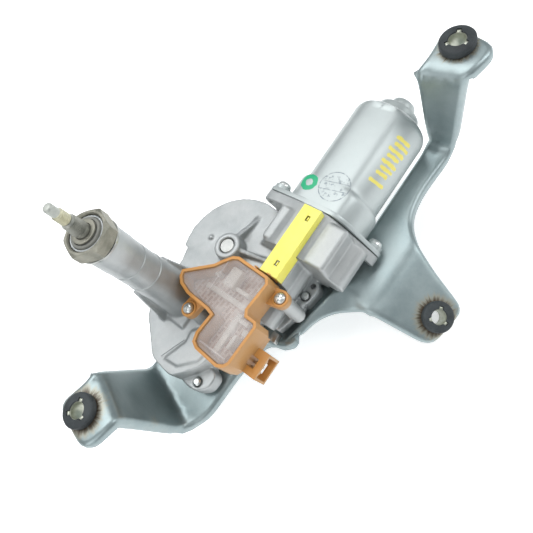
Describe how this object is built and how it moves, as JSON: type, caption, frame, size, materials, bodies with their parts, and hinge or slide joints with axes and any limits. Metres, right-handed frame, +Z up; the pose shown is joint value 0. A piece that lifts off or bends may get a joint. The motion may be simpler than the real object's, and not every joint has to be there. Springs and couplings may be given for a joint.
{
  "type": "rear wiper motor assembly",
  "caption": "Rear window wiper motor with gear housing, tall pivot tube and tapered spindle, drawn steel motor can, plastic connector box and pressed galvanised bracket on rubber grommets.",
  "frame": {"origin": "on the spindle's axis, level with the top face of the bracket's main plate", "axes": "+Z up the spindle towards its threaded tip, +X along the motor from the worm to the can's closed end, +Y from the motor towards the spindle"},
  "size_m": [0.2669, 0.1584, 0.159],
  "materials": {
    "zinc_sheet": "galvanised, weathered satin",
    "zinc_can": "bright zinc plated drawn steel",
    "cast_alloy": "as-cast satin",
    "shaft_steel": "plain machined",
    "collar_zinc": "zinc plated",
    "screw_zinc": "zinc plated",
    "old_steel": "olive-grey, tarnished",
    "brass": "plain",
    "copper": "copper, plain",
    "rubber": "matt",
    "orange_plastic": "moulded",
    "yellow_plastic": "moulded",
    "clear_lid": "milky, translucent",
    "white_plastic": "moulded",
    "board": "phenolic board",
    "ferrite": "black"
  },
  "bodies": {
    "frame": {"bracket": "zinc_sheet", "gear_cover": "zinc_sheet", "grommet_left": "rubber", "grommet_right": "rubber", "grommet_ear": "rubber", "cover_gasket": "rubber", "shaft_seal": "rubber", "collar_left": "collar_zinc", "collar_right": "collar_zinc", "collar_ear": "collar_zinc", "gear_housing": "cast_alloy", "pivot_washer": "shaft_steel", "pivot_nut": "old_steel", "upper_bush": "brass", "lower_bush": "brass", "wheel_pin": "shaft_steel", "front_bearing": "brass", "rear_bearing": "brass", "motor_can": "zinc_can", "can_screw_1": "screw_zinc", "can_screw_2": "screw_zinc", "rear_cap": "zinc_can", "magnet_left": "ferrite", "magnet_right": "ferrite", "brush_holder": "board", "brush_left": "ferrite", "brush_right": "ferrite", "connector_housing": "orange_plastic", "clear_lid": "clear_lid", "circuit_board": "board", "contact_strip_1": "brass", "contact_strip_2": "brass", "noise_capacitor": "white_plastic", "terminal_1": "brass", "terminal_2": "brass", "terminal_3": "brass", "box_screw_1": "screw_zinc", "box_screw_2": "screw_zinc", "terminal_cover": "yellow_plastic", "bus_bar_1": "brass", "bus_bar_2": "brass", "bracket_screw_1": "screw_zinc", "bracket_screw_2": "screw_zinc", "bracket_screw_3": "screw_zinc", "bracket_clip": "screw_zinc"},
    "output": {"output_shaft": "shaft_steel", "shaft_circlip": "shaft_steel", "output_pinion": "shaft_steel"},
    "link": {"link_plate": "shaft_steel", "link_pin": "shaft_steel"},
    "sector": {"sector_gear": "shaft_steel"},
    "worm_gear": {"worm_wheel": "white_plastic", "crank_pin": "shaft_steel"},
    "armature": {"armature_shaft": "shaft_steel", "armature_core": "ferrite", "winding_front": "copper", "winding_rear": "copper", "commutator": "copper"}
  },
  "joints": [
    {"name": "output_swing", "type": "hinge", "parent": "frame", "child": "output", "pos_m": [0, 0, 0], "axis": [0, 0, 1], "range_deg": [-55, 55]},
    {"name": "link_swing", "type": "hinge", "parent": "frame", "child": "link", "pos_m": [0, 0, 0], "axis": [0, 0, 1], "range_deg": [-30, 30]},
    {"name": "sector_swing", "type": "hinge", "parent": "link", "child": "sector", "pos_m": [-0.00887, -0.01903, 0], "axis": [0, 0, 1], "range_deg": [-30, 30]},
    {"name": "armature_spin", "type": "hinge", "parent": "frame", "child": "armature", "pos_m": [0, -0.0475, 0.0185], "axis": [1, 0, 0], "continuous": true},
    {"name": "wheel_spin", "type": "hinge", "parent": "frame", "child": "worm_gear", "pos_m": [0.038, -0.01, 0], "axis": [0, 0, 1], "continuous": true}
  ],
  "couplings": [
    {"joint": "link_swing", "follows": "output_swing", "ratio": 0.47619},
    {"joint": "sector_swing", "follows": "output_swing", "ratio": -0.47619},
    {"joint": "wheel_spin", "follows": "armature_spin", "ratio": 0.020833}
  ]
}
